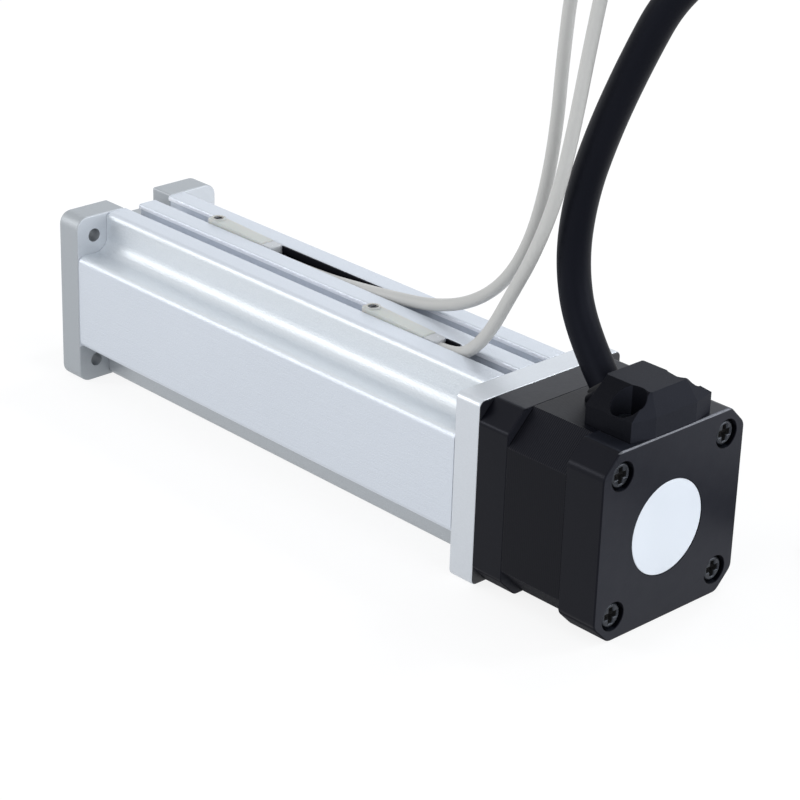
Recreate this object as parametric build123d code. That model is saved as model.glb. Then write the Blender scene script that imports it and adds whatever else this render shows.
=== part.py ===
from build123d import *
from math import cos, degrees, pi, radians, sin, tan
import os

os.makedirs("parts", exist_ok=True)

# Driving sizes in millimetres
stroke = 50.0  # travel of the rod
frame_side = 42.0  # width and height of the flanges and the motor
flange_thickness = 7.05  # front flange plate
adapter_thickness = 6.85  # plate between tube and motor
flange_corner = 3.0  # corner radius of the front flange
adapter_corner = 1.5  # corner radius of the plate at the motor
plate_edge = 0.4  # small bevel round both plates
mount_edge = 5.0  # mounting holes in the front flange, from its edges
motor_edge = 5.5  # motor screws, from the motor's edges
joint_edge = 4.8  # M4 screws that hold the plates to the tube, from the plates' sides
thread_core_m4 = 1.65  # core radius of a tapped M4 hole
rod_radius = 8.0
rod_bore_radius = 5.0
rod_end_thread = 3.4  # core radius of a tapped M8 hole
screw_radius = 4.0
screw_lead = 6.0  # travel for one turn of the screw
journal_radius = 3.0
shaft_radius = 2.5
bore_radius = 14.0  # round bore of the tube
tube_step = 0.2  # how far the tube lies inside the flange outline
bar_half_height = 12.6  # the wide arm of the cross profile
bar_half_width = 12.9  # the tall arm of the cross profile
inner_corner = 2.3
outer_corner = 1.0
keyway_width = 4.1
keyway_radius = 16.0
slot_offset = 4.5  # sensor slot centre from the middle plane
slot_opening = 3.8
slot_lip = 1.2
slot_cavity = 5.0
slot_depth = 4.4
slot_edge = 0.3
notch_width = 14.0  # opening in the front flange above the sensor slots
notch_below_slot = 0.2  # notch floor above the slot floor
joint_z = 7.7  # the same screws, above and below the middle
joint_depth = 11.0  # tapped depth in the tube ends
joint_screw_radius = 2.0
joint_screw_length = 12.0
joint_head_radius = 3.5
joint_head_height = 4.0
fixing_radius = 1.5  # M3 screws that hold the motor to its plate
fixing_length = 7.3
fixing_head_radius = 2.75
fixing_head_height = 3.0
spigot_length = 13.0  # front flange inside the tube
wiper_length = 4.0
bush_wall = 2.0
wiper_wall = 3.0
bumper_thickness = 2.0
carrier_length = 26.0
carrier_relief = 0.3  # carrier below the bore, all round
carrier_land = 2.0  # ribs of the carrier between its grooves
magnet_length = 5.0
magnet_wall = 2.5  # between nut flange and magnet
wear_length = 6.0
wear_groove = 1.3
key_length = 6.0
key_groove = 2.0
nut_radius = 7.0
nut_flange = 9.0
nut_flange_length = 2.0
nut_length = 13.0
web_thickness = 3.0  # carrier between nut and rod
rod_protrusion = 4.0  # rod tube in front of the flange, retracted
rod_end_length = 8.0
rod_end_spigot = 10.0  # rod end inside the rod
rod_end_solid = 6.0  # closed back of its tapped hole
rod_flat = 13.0  # across the flats of the rod end
bearing_width = 6.0
bearing_radius = 9.5
housing_lip = 3.0
retainer_length = 2.5
lock_nut_length = 3.5
coupling_radius = 8.0
coupling_length = 17.1
boss_radius = 11.0  # motor pilot
boss_height = 2.0
front_bell_length = 8.25
stack_length = 16.15
rear_bell_length = 9.8
bell_chamfer = 4.4
stack_chamfer = 7.0
yoke_width = 3.6  # stack outside the coils
pole_length = 4.4
pole_neck = 4.4
pole_tip = 1.3
coil_wall = 1.5
coil_overhang = 2.3
pole_count = 8
teeth_per_pole = 5
rotor_teeth = 50
tooth_depth = 0.7
cup_length = 6.4
rotor_magnet_length = 2.0
motor_bearing_radius = 8.0
motor_bearing_width = 5.0
washer_thickness = 0.6
screw_head_radius = 2.7
screw_head_height = 2.2
screw_recess = 2.7  # depth of the counterbores in the rear bell
disc_radius = 10.35
disc_y = 0.8  # the disc sits a little off the motor's centre
disc_z = -0.3
disc_thickness = 0.35
cover_length = 14.7
cover_half_width = 11.9
cover_shift = 0.5  # cover's middle from the motor's middle plane
cover_block = 4.4
cover_height = 8.6
cover_hole_radius = 3.6
cover_screw_radius = 1.0
cover_head_radius = 2.3
cover_top_half_width = 5.4
cover_floor = 1.2  # left under the screw heads in the cover
cable_radius = 3.5
lead_radius = 1.4

# Clearances in millimetres
running_gap = 0.05  # round a turning or sliding fit
seat_gap = 0.05  # round a part that is pushed or screwed into a hole
end_gap = 0.5  # between carrier and bumper at each end of the travel
air_gap = 0.1  # between rotor and stator
shaft_gap = 1.5  # between screw end and motor shaft, and round the coupling ends
hole_gap = 0.2  # round a screw or its head in a plate
head_gap = 0.45  # round the heads in the rear bell

# Positions along the cylinder, from the mounting face backwards
half = frame_side / 2
flange_pitch = frame_side - 2 * mount_edge
motor_pitch = frame_side - 2 * motor_edge
joint_y = half - joint_edge
stator_slot_radius = half - yoke_width
stator_radius = stator_slot_radius - pole_length
tube_half = half - tube_step
flange_back = -flange_thickness
spigot_back = flange_back - spigot_length
front_bumper_back = spigot_back - bumper_thickness
carrier_front = front_bumper_back - end_gap - stroke
carrier_back = carrier_front - carrier_length
rear_bumper_front = carrier_back - end_gap
housing_front = rear_bumper_front - bumper_thickness
bearing_front = housing_front - housing_lip
bearing_back = bearing_front - 2 * bearing_width
housing_back = bearing_back - retainer_length
lock_nut_back = bearing_back - lock_nut_length
coupling_front = lock_nut_back - shaft_gap
coupling_back = coupling_front - coupling_length
boss_front = coupling_back - shaft_gap
motor_face = boss_front - boss_height
tube_back = motor_face + adapter_thickness
front_bell_back = motor_face - front_bell_length
stack_back = front_bell_back - stack_length
motor_back = stack_back - rear_bell_length
rod_back = carrier_back + nut_length + web_thickness
rod_front = rod_protrusion
screw_front = carrier_back + nut_length + stroke + 6.0
shaft_front = coupling_back + coupling_length / 2 - shaft_gap / 2
screw_back = coupling_back + coupling_length / 2 + shaft_gap / 2
slot_floor = tube_half - slot_depth


def slab(sketch, start, end):
    return extrude(Plane.YZ.offset(start) * sketch, end - start)


def bar(radius, start, end, y=0.0, z=0.0):
    return slab(Pos(y, z) * Circle(radius), start, end)


def ring(outer, inner, start, end):
    return slab(Circle(outer) - Circle(inner), start, end)


def block(x0, x1, y0, y1, z0, z1):
    centre = Pos((x0 + x1) / 2, (y0 + y1) / 2, (z0 + z1) / 2)
    return centre * Box(abs(x1 - x0), abs(y1 - y0), abs(z1 - z0))


def turned(points):
    outline = Polyline(*[(x, 0, r) for x, r in points], close=True)
    return revolve(make_face(outline), Axis.X)


def save(name, shape):
    export_step(shape, f"parts/{name}.step")


def four(y, z):
    return [(y, z), (-y, z), (-y, -z), (y, -z)]


def chamfered_square(side, cut):
    square = Rectangle(side, side)
    return chamfer(square.vertices(), cut)


def plate(corner, start, end):
    body = slab(RectangleRounded(frame_side, frame_side, corner), start, end)
    ends = body.faces().sort_by(Axis.X)
    return chamfer(ends[0].edges() + ends[-1].edges(), plate_edge)


# Tube: extruded cross profile with two sensor slots and two inner keyways
cross = Rectangle(2 * tube_half, 2 * bar_half_height) + Rectangle(2 * bar_half_width, 2 * tube_half)
inner = [v for v in cross.vertices() if abs(v.X) < tube_half - 1 and abs(v.Y) < tube_half - 1]
cross = fillet(inner, inner_corner)
outer = [v for v in cross.vertices() if abs(abs(v.X) - tube_half) < 0.01 or abs(abs(v.Y) - tube_half) < 0.01]
cross = fillet(outer, outer_corner)
slot = Pos(0, -slot_lip / 2) * Rectangle(slot_opening, slot_lip) + Pos(
    0, -(slot_lip + slot_depth) / 2
) * Rectangle(slot_cavity, slot_depth - slot_lip)
for side in (-1, 1):
    cross -= Pos(side * slot_offset, tube_half) * slot
mouths = [
    v
    for v in cross.vertices()
    if abs(v.Y - tube_half) < 0.01 and abs(v.X) < slot_offset + slot_opening / 2 + 0.01
]
cross = fillet(mouths, slot_edge)
cross -= Circle(bore_radius)
cross -= Rectangle(2 * keyway_radius, keyway_width)
tube = slab(cross, tube_back, flange_back)
for y, z in four(joint_y, joint_z):
    tube -= bar(joint_screw_radius, flange_back - joint_depth, flange_back, y, z)
    tube -= bar(joint_screw_radius, tube_back, tube_back + joint_depth, y, z)
save("body_tube", tube)

# Front flange: square plate with a spigot, ears either side of the slot notch
joint_seat = joint_head_height + hole_gap
flange = plate(flange_corner, flange_back, 0)
flange += bar(bore_radius - seat_gap, spigot_back, flange_back)
notch_floor = slot_floor + notch_below_slot
flange -= block(
    flange_back - 1, 1, -notch_width / 2, notch_width / 2, notch_floor, half + 1
)
bush_radius = rod_radius + bush_wall
wiper_radius = rod_radius + wiper_wall
flange -= bar(bush_radius, spigot_back, 0)
flange -= bar(wiper_radius, -wiper_length, 0)
for y, z in four(flange_pitch / 2, flange_pitch / 2):
    flange -= bar(thread_core_m4, flange_back, 0, y, z)
for y, z in four(joint_y, joint_z):
    flange -= bar(joint_screw_radius + hole_gap, flange_back, 0, y, z)
    flange -= bar(joint_head_radius + hole_gap, -joint_seat, 0, y, z)
save("front_flange", flange)


# Cap screws with a hexagon socket, head towards the given end
def cap_screw(head_radius, head_height, shank_radius, length):
    screw = bar(head_radius, 0, head_height) + bar(shank_radius, -length, 0)
    return screw - slab(RegularPolygon(head_radius / 2, 6), head_height / 2, head_height)


joint_shank = joint_screw_radius - seat_gap
joint_screw = cap_screw(joint_head_radius, joint_head_height, joint_shank, joint_screw_length)
screws = [Pos(-joint_seat, y, z) * joint_screw for y, z in four(joint_y, joint_z)]
save("flange_screws", Compound(children=screws))

# Rod bearing bush and wiper in the flange
bush = ring(bush_radius - seat_gap, rod_radius + running_gap, spigot_back, -wiper_length - 0.5)
save("rod_bush", bush)
lip_radius = rod_radius + running_gap
wiper = turned(
    [
        (-wiper_length, wiper_radius - seat_gap),
        (0, wiper_radius - seat_gap),
        (0, wiper_radius - 1.1),
        (-2.4, wiper_radius - 1.3),
        (-0.6, lip_radius + 0.5),
        (-0.5, lip_radius),
        (-1.2, lip_radius),
        (-2.6, lip_radius + 0.8),
        (-wiper_length, lip_radius + 0.8),
    ]
)
save("rod_wiper", wiper)

# Rubber bumpers at both ends of the travel
front_bumper = ring(bore_radius - 1, bush_radius + 0.3, front_bumper_back, spigot_back)
save("front_bumper", front_bumper)
rear_bumper = ring(bore_radius - 1, nut_flange + 0.5, housing_front, rear_bumper_front)
save("rear_bumper", rear_bumper)

# Rod: tube with a tapped end piece
push_rod = ring(rod_radius, rod_bore_radius, rod_back, rod_front)
save("push_rod", push_rod)
end_front = rod_front + rod_end_length
rod_end = bar(rod_radius, rod_front, end_front)
rod_end = chamfer(rod_end.faces().sort_by(Axis.X)[-1].edges(), 0.6)
spigot_end = rod_front - rod_end_spigot
rod_end += bar(rod_bore_radius - seat_gap, spigot_end, rod_front)
rod_end -= bar(rod_end_thread, spigot_end + rod_end_solid, end_front)
for side in (-1, 1):
    rod_end -= block(
        rod_front + 1.5,
        end_front + 1,
        side * rod_flat / 2,
        side * (rod_radius + 1),
        -rod_radius,
        rod_radius,
    )
save("rod_end", rod_end)

# Carrier: holds rod and nut, runs in the bore on a wear ring and two keys
carrier_radius = bore_radius - carrier_relief
magnet_back = carrier_back + carrier_land
magnet_front = magnet_back + magnet_length
magnet_inner = nut_flange + magnet_wall
wear_back = magnet_front + carrier_land
wear_front = wear_back + wear_length
wear_inner = bore_radius - wear_groove
key_front = carrier_front - carrier_land
key_back = key_front - key_length
key_inner = bore_radius - key_groove
carrier = bar(carrier_radius, carrier_back, carrier_front)
carrier -= bar(nut_radius, carrier_back, carrier_back + nut_length)
carrier -= bar(nut_flange, carrier_back, carrier_back + nut_flange_length)
carrier -= bar(rod_bore_radius, carrier_back, carrier_front)
carrier -= bar(rod_radius + seat_gap, rod_back, carrier_front)
carrier -= ring(bore_radius, magnet_inner, magnet_back, magnet_front)
carrier -= ring(bore_radius, wear_inner, wear_back, wear_front)
for side in (-1, 1):
    carrier -= block(
        key_back,
        key_front,
        side * key_inner,
        side * bore_radius,
        -keyway_width / 2,
        keyway_width / 2,
    )
save("nut_carrier", carrier)

nut = bar(nut_radius - seat_gap, carrier_back, carrier_back + nut_length)
nut += bar(nut_flange - seat_gap, carrier_back, carrier_back + nut_flange_length)
nut -= bar(screw_radius + running_gap, carrier_back, carrier_back + nut_length)
for side in (-1, 1):
    nut -= bar(0.8, carrier_back, carrier_back + 1.2, 0, side * (nut_flange + screw_radius) / 2)
save("screw_nut", nut)

magnet = ring(carrier_radius - 0.1, magnet_inner + seat_gap, magnet_back + seat_gap, magnet_front - seat_gap)
save("piston_magnet", magnet)
wear = ring(bore_radius - running_gap, wear_inner + seat_gap, wear_back + seat_gap, wear_front - seat_gap)
wear -= block(wear_back, wear_front, -0.5, 0.5, 0, bore_radius)
save("wear_ring", wear)

key = slab(
    Pos((key_inner + keyway_radius) / 2, 0)
    * RectangleRounded(
        keyway_radius - key_inner - 2 * seat_gap, keyway_width - 2 * running_gap, 0.5
    ),
    key_back + seat_gap,
    key_front - seat_gap,
)
save("guide_keys", Compound(children=[key, Rot(180, 0, 0) * key]))

# Lead screw with its bearing journal
lead_screw = turned(
    [
        (screw_back, 0),
        (screw_back, shaft_radius),
        (lock_nut_back, shaft_radius),
        (lock_nut_back, journal_radius),
        (bearing_front, journal_radius),
        (bearing_front, screw_radius),
        (screw_front - 1.0, screw_radius),
        (screw_front, screw_radius - 1.0),
        (screw_front, 0),
    ]
)
save("lead_screw", lead_screw)

# Bearing housing with two ball bearings, retainer and lock nut
housing = bar(bore_radius - seat_gap, housing_back, housing_front)
housing -= bar(bearing_radius + seat_gap, housing_back, bearing_front)
housing -= bar(bearing_radius - 2.0, bearing_front, housing_front)
save("bearing_housing", housing)


def bearing_outer(outer, inner, start, width):
    wall = outer * 0.8
    shield = 0.35
    groove = 0.3
    rim = inner + 0.1
    end = start + width
    body = ring(outer, wall, start, end)
    body += ring(wall, rim, start + groove, start + groove + shield)
    return body + ring(wall, rim, end - groove - shield, end - groove)


def bearing_inner(inner, bore, start, width):
    return ring(inner, bore, start, start + width)


screw_inner_ring = journal_radius + 1.7
outers = [
    bearing_outer(bearing_radius, screw_inner_ring, bearing_back + n * bearing_width, bearing_width)
    for n in (0, 1)
]
inners = [
    bearing_inner(screw_inner_ring, journal_radius, bearing_back + n * bearing_width, bearing_width)
    for n in (0, 1)
]
save("screw_bearing_outers", Compound(children=outers))
save("screw_bearing_inners", Compound(children=inners))
lock_nut_radius = journal_radius + 2.0
retainer = ring(bearing_radius, lock_nut_radius + 0.6, housing_back, bearing_back)
for turn in range(4):
    retainer -= Rot(90 * turn, 0, 0) * block(
        housing_back, housing_back + 1.0, -0.8, 0.8, lock_nut_radius, bearing_radius - 1.0
    )
save("bearing_retainer", retainer)
lock_nut = slab(RegularPolygon(lock_nut_radius, 6) - Circle(journal_radius), lock_nut_back, bearing_back)
save("lock_nut", lock_nut)

# Shaft coupling with a clamping slit and screw at each end
coupling = ring(coupling_radius, shaft_radius, coupling_back, coupling_front)
middle = (coupling_back + coupling_front) / 2
clamp_y = (coupling_radius + shaft_radius) / 2
clamp_end = 3.0
for start, end, x in (
    (coupling_back, coupling_back + 6, coupling_back + clamp_end),
    (coupling_front - 6, coupling_front, coupling_front - clamp_end),
):
    coupling -= block(start, end, 0, coupling_radius, -0.4, 0.4)
    coupling -= Pos(x, clamp_y, 0) * Cylinder(1.25, 2 * coupling_radius)
    coupling -= Pos(x, clamp_y, 3 + coupling_radius / 2) * Cylinder(2.1, coupling_radius)
for turn, x in ((0, middle - 1.3), (180, middle + 1.3)):
    slit = block(x - 0.4, x + 0.4, -coupling_radius, coupling_radius, -1, coupling_radius)
    coupling -= Rot(turn, 0, 0) * slit
save("shaft_coupling", coupling)
clamp_screw = Pos(0, 0, -0.5) * Cylinder(1.2, 7.0) + Pos(0, 0, 4) * Cylinder(2.0, 2.0)
clamp_screw -= Pos(0, 0, 4.5) * extrude(RegularPolygon(1.1, 6), 1.5)
clamps = [
    Pos(coupling_back + clamp_end, clamp_y, 0) * clamp_screw,
    Pos(coupling_front - clamp_end, clamp_y, 0) * clamp_screw,
]
save("coupling_screws", Compound(children=clamps))

# Plate between tube and motor, its sleeve holds the bearing housing
adapter = plate(adapter_corner, motor_face, tube_back)
adapter += bar(bore_radius - seat_gap, tube_back, housing_back)
adapter -= bar(coupling_radius + shaft_gap, motor_face, housing_back)
adapter -= bar(boss_radius + seat_gap, motor_face, boss_front)
for y, z in four(joint_y, joint_z):
    adapter -= bar(joint_screw_radius + hole_gap, motor_face, tube_back, y, z)
    adapter -= bar(joint_head_radius + hole_gap, motor_face, motor_face + joint_seat, y, z)
fixing_seat = fixing_head_height + hole_gap
for y, z in four(motor_pitch / 2, motor_pitch / 2):
    adapter -= bar(fixing_radius + hole_gap, motor_face, tube_back, y, z)
    adapter -= bar(fixing_head_radius + hole_gap, tube_back - fixing_seat, tube_back, y, z)
save("motor_flange", adapter)
rear_joint = Rot(0, 180, 0) * joint_screw
screws = [Pos(motor_face + joint_seat, y, z) * rear_joint for y, z in four(joint_y, joint_z)]
save("adapter_screws", Compound(children=screws))
motor_fixing = cap_screw(fixing_head_radius, fixing_head_height, fixing_radius, fixing_length)
screws = [
    Pos(tube_back - fixing_seat, y, z) * motor_fixing
    for y, z in four(motor_pitch / 2, motor_pitch / 2)
]
save("motor_fixing_screws", Compound(children=screws))

# Motor front bell with pilot, bearing seat and pocket for the coils
pocket_radius = stator_slot_radius - 0.2
pocket_depth = coil_overhang + 0.7
front_bearing_back = front_bell_back + 1.7
front_bearing_front = front_bearing_back + motor_bearing_width
front_bell = slab(chamfered_square(frame_side, bell_chamfer), front_bell_back, motor_face)
front_bell += bar(boss_radius, motor_face, boss_front)
front_bell -= bar(pocket_radius, front_bell_back, front_bell_back + pocket_depth)
front_bell -= bar(motor_bearing_radius + seat_gap, front_bell_back, front_bearing_front)
front_bell -= bar(shaft_radius + shaft_gap, front_bell_back, boss_front)
for y, z in four(motor_pitch / 2, motor_pitch / 2):
    front_bell -= bar(fixing_radius + seat_gap, front_bell_back, motor_face, y, z)
save("front_bell", front_bell)

# Laminated stator with eight toothed poles
pole_angle = 360 / pole_count
lamination = chamfered_square(frame_side, stack_chamfer) - Circle(stator_slot_radius)
tooth_pitch = radians(360 / rotor_teeth)
tip_half = teeth_per_pole * tooth_pitch / 2 + tooth_pitch / 4
pole = Pos((stator_radius + stator_slot_radius) / 2 + 0.3, 0) * Rectangle(
    stator_slot_radius - stator_radius, pole_neck
)
shoe_ring = Circle(stator_radius + pole_tip) - Circle(stator_radius)
reach = 2 * stator_radius
wedge = make_face(
    Polyline(
        (0, 0),
        (reach * cos(tip_half), reach * sin(tip_half)),
        (reach * cos(tip_half), -reach * sin(tip_half)),
        close=True,
    )
)
shoe = shoe_ring & wedge
for tooth in range(teeth_per_pole):
    angle = (tooth - (teeth_per_pole - 1) / 2) * degrees(tooth_pitch)
    shoe -= Rot(0, 0, angle) * Pos(stator_radius, 0) * Rectangle(2 * tooth_depth, 0.75)
for n in range(pole_count):
    lamination += Rot(0, 0, n * pole_angle) * (pole + shoe)
for y, z in four(motor_pitch / 2, motor_pitch / 2):
    lamination -= Pos(y, z) * Circle(1.65)
stack = slab(lamination, stack_back, front_bell_back)
save("stator_stack", stack)

# Eight coils round the poles
coil_inner = stator_radius + pole_tip + 0.2
coil_outer = stator_slot_radius - 0.7
coil_half = pole_neck / 2 + coil_wall
coil = block(
    stack_back - coil_overhang,
    front_bell_back + coil_overhang,
    coil_inner,
    coil_outer,
    -coil_half,
    coil_half,
)
coil = fillet(coil.edges().filter_by(Axis.Y), 1.0)
coil -= block(
    stack_back - seat_gap,
    front_bell_back + seat_gap,
    0,
    stator_slot_radius,
    -pole_neck / 2 - seat_gap,
    pole_neck / 2 + seat_gap,
)
coils = [Rot(n * pole_angle, 0, 0) * coil for n in range(pole_count)]
save("stator_coils", Compound(children=coils))

# Rotor: shaft, two toothed cups half a tooth apart, and the magnet between them
rotor_radius = stator_radius - air_gap
rotor_middle = (front_bell_back + stack_back) / 2
rotor_front = rotor_middle + rotor_magnet_length / 2 + cup_length
rotor_back = rotor_middle - rotor_magnet_length / 2 - cup_length
cup = Circle(rotor_radius) - Circle(shaft_radius)
for tooth in range(rotor_teeth):
    cup -= Rot(0, 0, tooth * 360 / rotor_teeth) * Pos(rotor_radius, 0) * Rectangle(
        2 * tooth_depth, 0.8
    )
front_cup = slab(cup, rotor_front - cup_length, rotor_front)
back_cup = slab(Rot(0, 0, 180 / rotor_teeth) * cup, rotor_back, rotor_back + cup_length)
save("rotor_cups", Compound(children=[front_cup, back_cup]))
rotor_magnet = ring(rotor_radius - 1.5, shaft_radius, rotor_back + cup_length, rotor_front - cup_length)
save("rotor_magnet", rotor_magnet)

rear_bearing_back = motor_back + screw_recess + washer_thickness
rear_bearing_front = rear_bearing_back + motor_bearing_width
shoulder = shaft_radius + 0.8
motor_shaft = bar(shaft_radius, rear_bearing_back, shaft_front)
motor_shaft += bar(shoulder, rear_bearing_front, rotor_back)
motor_shaft += bar(shoulder, rotor_front, front_bearing_back)
save("motor_shaft", motor_shaft)

motor_ring = shaft_radius + 1.4
outers = [
    bearing_outer(motor_bearing_radius, motor_ring, start, motor_bearing_width)
    for start in (rear_bearing_back, front_bearing_back)
]
inners = [
    bearing_inner(motor_ring, shaft_radius, start, motor_bearing_width)
    for start in (rear_bearing_back, front_bearing_back)
]
save("motor_bearing_outers", Compound(children=outers))
save("motor_bearing_inners", Compound(children=inners))
washer_back = rear_bearing_back - washer_thickness
washer = ring(motor_bearing_radius - 0.2, motor_ring + 1.6, washer_back, rear_bearing_back)
save("wave_washer", washer)

# Motor rear bell with a shallow round recess for the disc
cover_x = motor_back + 5.7
cover_hole_y = 8.3
cover_ys = [cover_shift - cover_hole_y, cover_shift + cover_hole_y]
rear_bell = slab(chamfered_square(frame_side, bell_chamfer), motor_back, stack_back)
rear_bell -= bar(pocket_radius, stack_back - pocket_depth, stack_back)
rear_bell -= bar(motor_bearing_radius + seat_gap, rear_bearing_back - washer_thickness, stack_back)
rear_bell -= bar(disc_radius + 0.15, motor_back, motor_back + disc_thickness + seat_gap, disc_y, disc_z)
for y, z in four(motor_pitch / 2, motor_pitch / 2):
    rear_bell -= bar(1.65, motor_back, stack_back, y, z)
    rear_bell -= bar(screw_head_radius + head_gap, motor_back, motor_back + screw_recess, y, z)
for y in cover_ys:
    rear_bell -= Pos(cover_x, y, half) * Cylinder(cover_screw_radius + seat_gap, 6)
rear_bell -= block(stack_back - pocket_depth, stack_back, -4, 4, 0, half + 1)
save("rear_bell", rear_bell)
disc_back = motor_back + seat_gap
disc = bar(disc_radius, disc_back, disc_back + disc_thickness, disc_y, disc_z)
save("rear_disc", disc)

# Long motor screws with a cross recess
head_seat = motor_back + screw_recess
long_screw = bar(screw_head_radius, head_seat - screw_head_height, head_seat)
long_screw = fillet(long_screw.faces().sort_by(Axis.X)[0].edges(), 0.6)
long_screw += bar(1.5, head_seat, front_bell_back + 3.4)
cross_recess = Rectangle(3.2, 0.8) + Rectangle(0.8, 3.2)
long_screw -= slab(cross_recess, head_seat - screw_head_height, head_seat - screw_head_height + 1.2)
screws = [Pos(0, y, z) * long_screw for y, z in four(motor_pitch / 2, motor_pitch / 2)]
save("motor_screws", Compound(children=screws))

# Cable cover on the motor: faceted block with a tapered top
cover_back = motor_back + 0.15
cover_front = cover_back + cover_length
corner_x = 1.3
corner_y = 5.8


def facets(back, front, half_width, cut_x, cut_y):
    return [
        (back + cut_x, half_width),
        (back, half_width - cut_y),
        (back, cut_y - half_width),
        (back + cut_x, -half_width),
        (front - cut_x, -half_width),
        (front, cut_y - half_width),
        (front, half_width - cut_y),
        (front - cut_x, half_width),
    ]


lower_outline = facets(cover_back, cover_front, cover_half_width, corner_x, corner_y)
lower = Pos(0, cover_shift) * make_face(Polyline(*lower_outline, close=True))
upper_outline = facets(cover_back + 2.6, cover_front - 0.2, cover_top_half_width, 0.3, 0.3)
upper = Pos(0, cover_shift / 2) * make_face(Polyline(*upper_outline, close=True))
shoulder_place = Pos(0, 0, half + cover_block)
cover = extrude(Pos(0, 0, half) * lower, cover_block)
cover += loft([shoulder_place * lower, Pos(0, 0, half + cover_height) * upper], ruled=True)
for y in cover_ys:
    hole_place = Pos(cover_x, y, half + cover_floor)
    cover -= hole_place * Pos(0, 0, cover_height / 2) * Cylinder(cover_hole_radius, cover_height)
    cover -= hole_place * Cylinder(cover_screw_radius + hole_gap, 3 * cover_floor)
cover -= block(cover_back + 2.5, cover_front - 2.5, -3.2, 3.2, half, half + cover_block)

# Cable outlet: bush inclined towards the tube
outlet_x = cover_front + 3.45
outlet_z = half + 1.8
lean = 50.0
outlet = Pos(outlet_x, 0, outlet_z) * Rot(0, 90 - lean, 0)
bush_start = -4.5
bush_end = 2.2
bush_outer = cable_radius + 0.6
collar_start = -4.0
collar_end = 1.4
collar_outer = bush_outer + 1.2


def rounded_post(radius, start, end, rounding):
    post = Pos(0, 0, (start + end) / 2) * Cylinder(radius, end - start)
    return fillet(post.edges().sort_by(Axis.Z)[-1], rounding)


above_motor = block(cover_back, cover_front + 12, -half, half, half, half + 2 * cover_height)
cover += outlet * rounded_post(collar_outer, collar_start, collar_end, 1.0) & above_motor
cover -= outlet * Pos(0, 0, (bush_start + bush_end) / 2) * Cylinder(
    bush_outer + seat_gap, bush_end - bush_start + 0.02
)
save("cable_cover", cover)
gland = outlet * rounded_post(bush_outer, bush_start, bush_end, 0.3)
gland -= outlet * Cylinder(cable_radius + seat_gap, 4 * bush_end - 2 * bush_start)
gland &= Pos(0, 0, seat_gap) * above_motor
save("cable_bush", gland)

cover_screw = Cylinder(cover_head_radius, 1.6) + Pos(0, 0, -2.6) * Cylinder(cover_screw_radius, 3.8)
cover_screw -= Pos(0, 0, 0.5) * (Box(2.6, 0.6, 1.0) + Box(0.6, 2.6, 1.0))
screws = [Pos(cover_x, y, half + cover_floor + 0.85) * cover_screw for y in cover_ys]
save("cover_screws", Compound(children=screws))

# Sensors in the two slots: a foot under the slot's lips and a neck that slopes down to the tip
sensor_length = 23.3
tip_length = 3.5
head_rise = 0.9  # top of the sensor above the tube at its head
tail_rise = 0.3  # the same where the tip begins
tip_rise = 0.1
set_screw_offset = 2.1
sensor_base = slot_floor + running_gap
sensor_shoulder = tube_half - slot_lip - running_gap
neck_half = slot_opening / 2 - 0.1
foot_half = slot_cavity / 2 - 0.15


def sensor_piece(back, front, back_rise, front_rise, y, corner):
    side_view = make_face(
        Polyline(
            (back, 0, sensor_base),
            (back, 0, tube_half + back_rise),
            (front, 0, tube_half + front_rise),
            (front, 0, sensor_base),
            close=True,
        )
    )
    neck = extrude(side_view, neck_half, both=True)
    upright = neck.edges().filter_by(Axis.Z).group_by(Axis.X)[corner]
    neck = fillet(upright, 0.8)
    neck = fillet(neck.faces().sort_by(Axis.Z)[-1].edges(), 0.2)
    foot = block(back, front, -foot_half, foot_half, sensor_base, sensor_shoulder)
    return Pos(0, y, 0) * (neck + foot)


def sensor_body(head, y):
    body = sensor_piece(head - sensor_length + tip_length, head, tail_rise, head_rise, y, -1)
    rim = tube_half + head_rise
    body += Pos(head - set_screw_offset, y, rim - 0.2) * Cylinder(1.7, 0.8)
    return body - Pos(head - set_screw_offset, y, rim) * Cylinder(1.25, 3.0)


def sensor_screw(head, y):
    top = tube_half + head_rise - 0.2
    screw = Pos(head - set_screw_offset, y, top - 0.55) * Cylinder(1.2, 1.5)
    return screw - Pos(head - set_screw_offset, y, top) * Box(0.5, 2.6, 0.5)


def sensor_tip(head, y):
    return sensor_piece(head - sensor_length, head - sensor_length + tip_length, tip_rise, tip_rise, y, 0)


# Black liner behind each sensor, against the slot wall away from the lead
liner_thickness = 0.4
liner_lengths = {"sensor_1": 4.0, "sensor_2": 34.0}


def slot_liner(head, y, length):
    front = head - sensor_length - 0.1
    wall = y - slot_opening / 2 + 0.05
    return block(front - length, front, wall, wall + liner_thickness, sensor_base, tube_half - 0.1)


sensor_heads = {"sensor_1": (carrier_back + 8.6, slot_offset), "sensor_2": (spigot_back - 6.3, -slot_offset)}
for name, (head, y) in sensor_heads.items():
    save(f"{name}_body", sensor_body(head, y))
    save(f"{name}_screw", sensor_screw(head, y))
    save(f"{name}_tip", sensor_tip(head, y))
    save(f"{name}_liner", slot_liner(head, y, liner_lengths[name]))


# Flexible tubes: straight runs joined by arcs that touch them
def cord(points, radius):
    spots = [Vector(*p) for p in points]
    runs = [b - a for a, b in zip(spots, spots[1:])]
    turns = [a.get_angle(b) for a, b in zip(runs, runs[1:])]
    bends = [
        0.45 * min(a.length, b.length) / tan(radians(turn / 2))
        for a, b, turn in zip(runs, runs[1:], turns)
    ]
    path = FilletPolyline(*spots, radius=bends)
    tube_body = sweep(Plane(path @ 0, z_dir=path % 0) * Circle(radius), path)
    expected = pi * radius**2 * path.length
    ratio = tube_body.volume / expected
    print(f"length {path.length:.1f}, tightest arc {min(bends):.1f}, volume ratio {ratio:.4f}")
    return tube_body, runs[-1].normalized()


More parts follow.
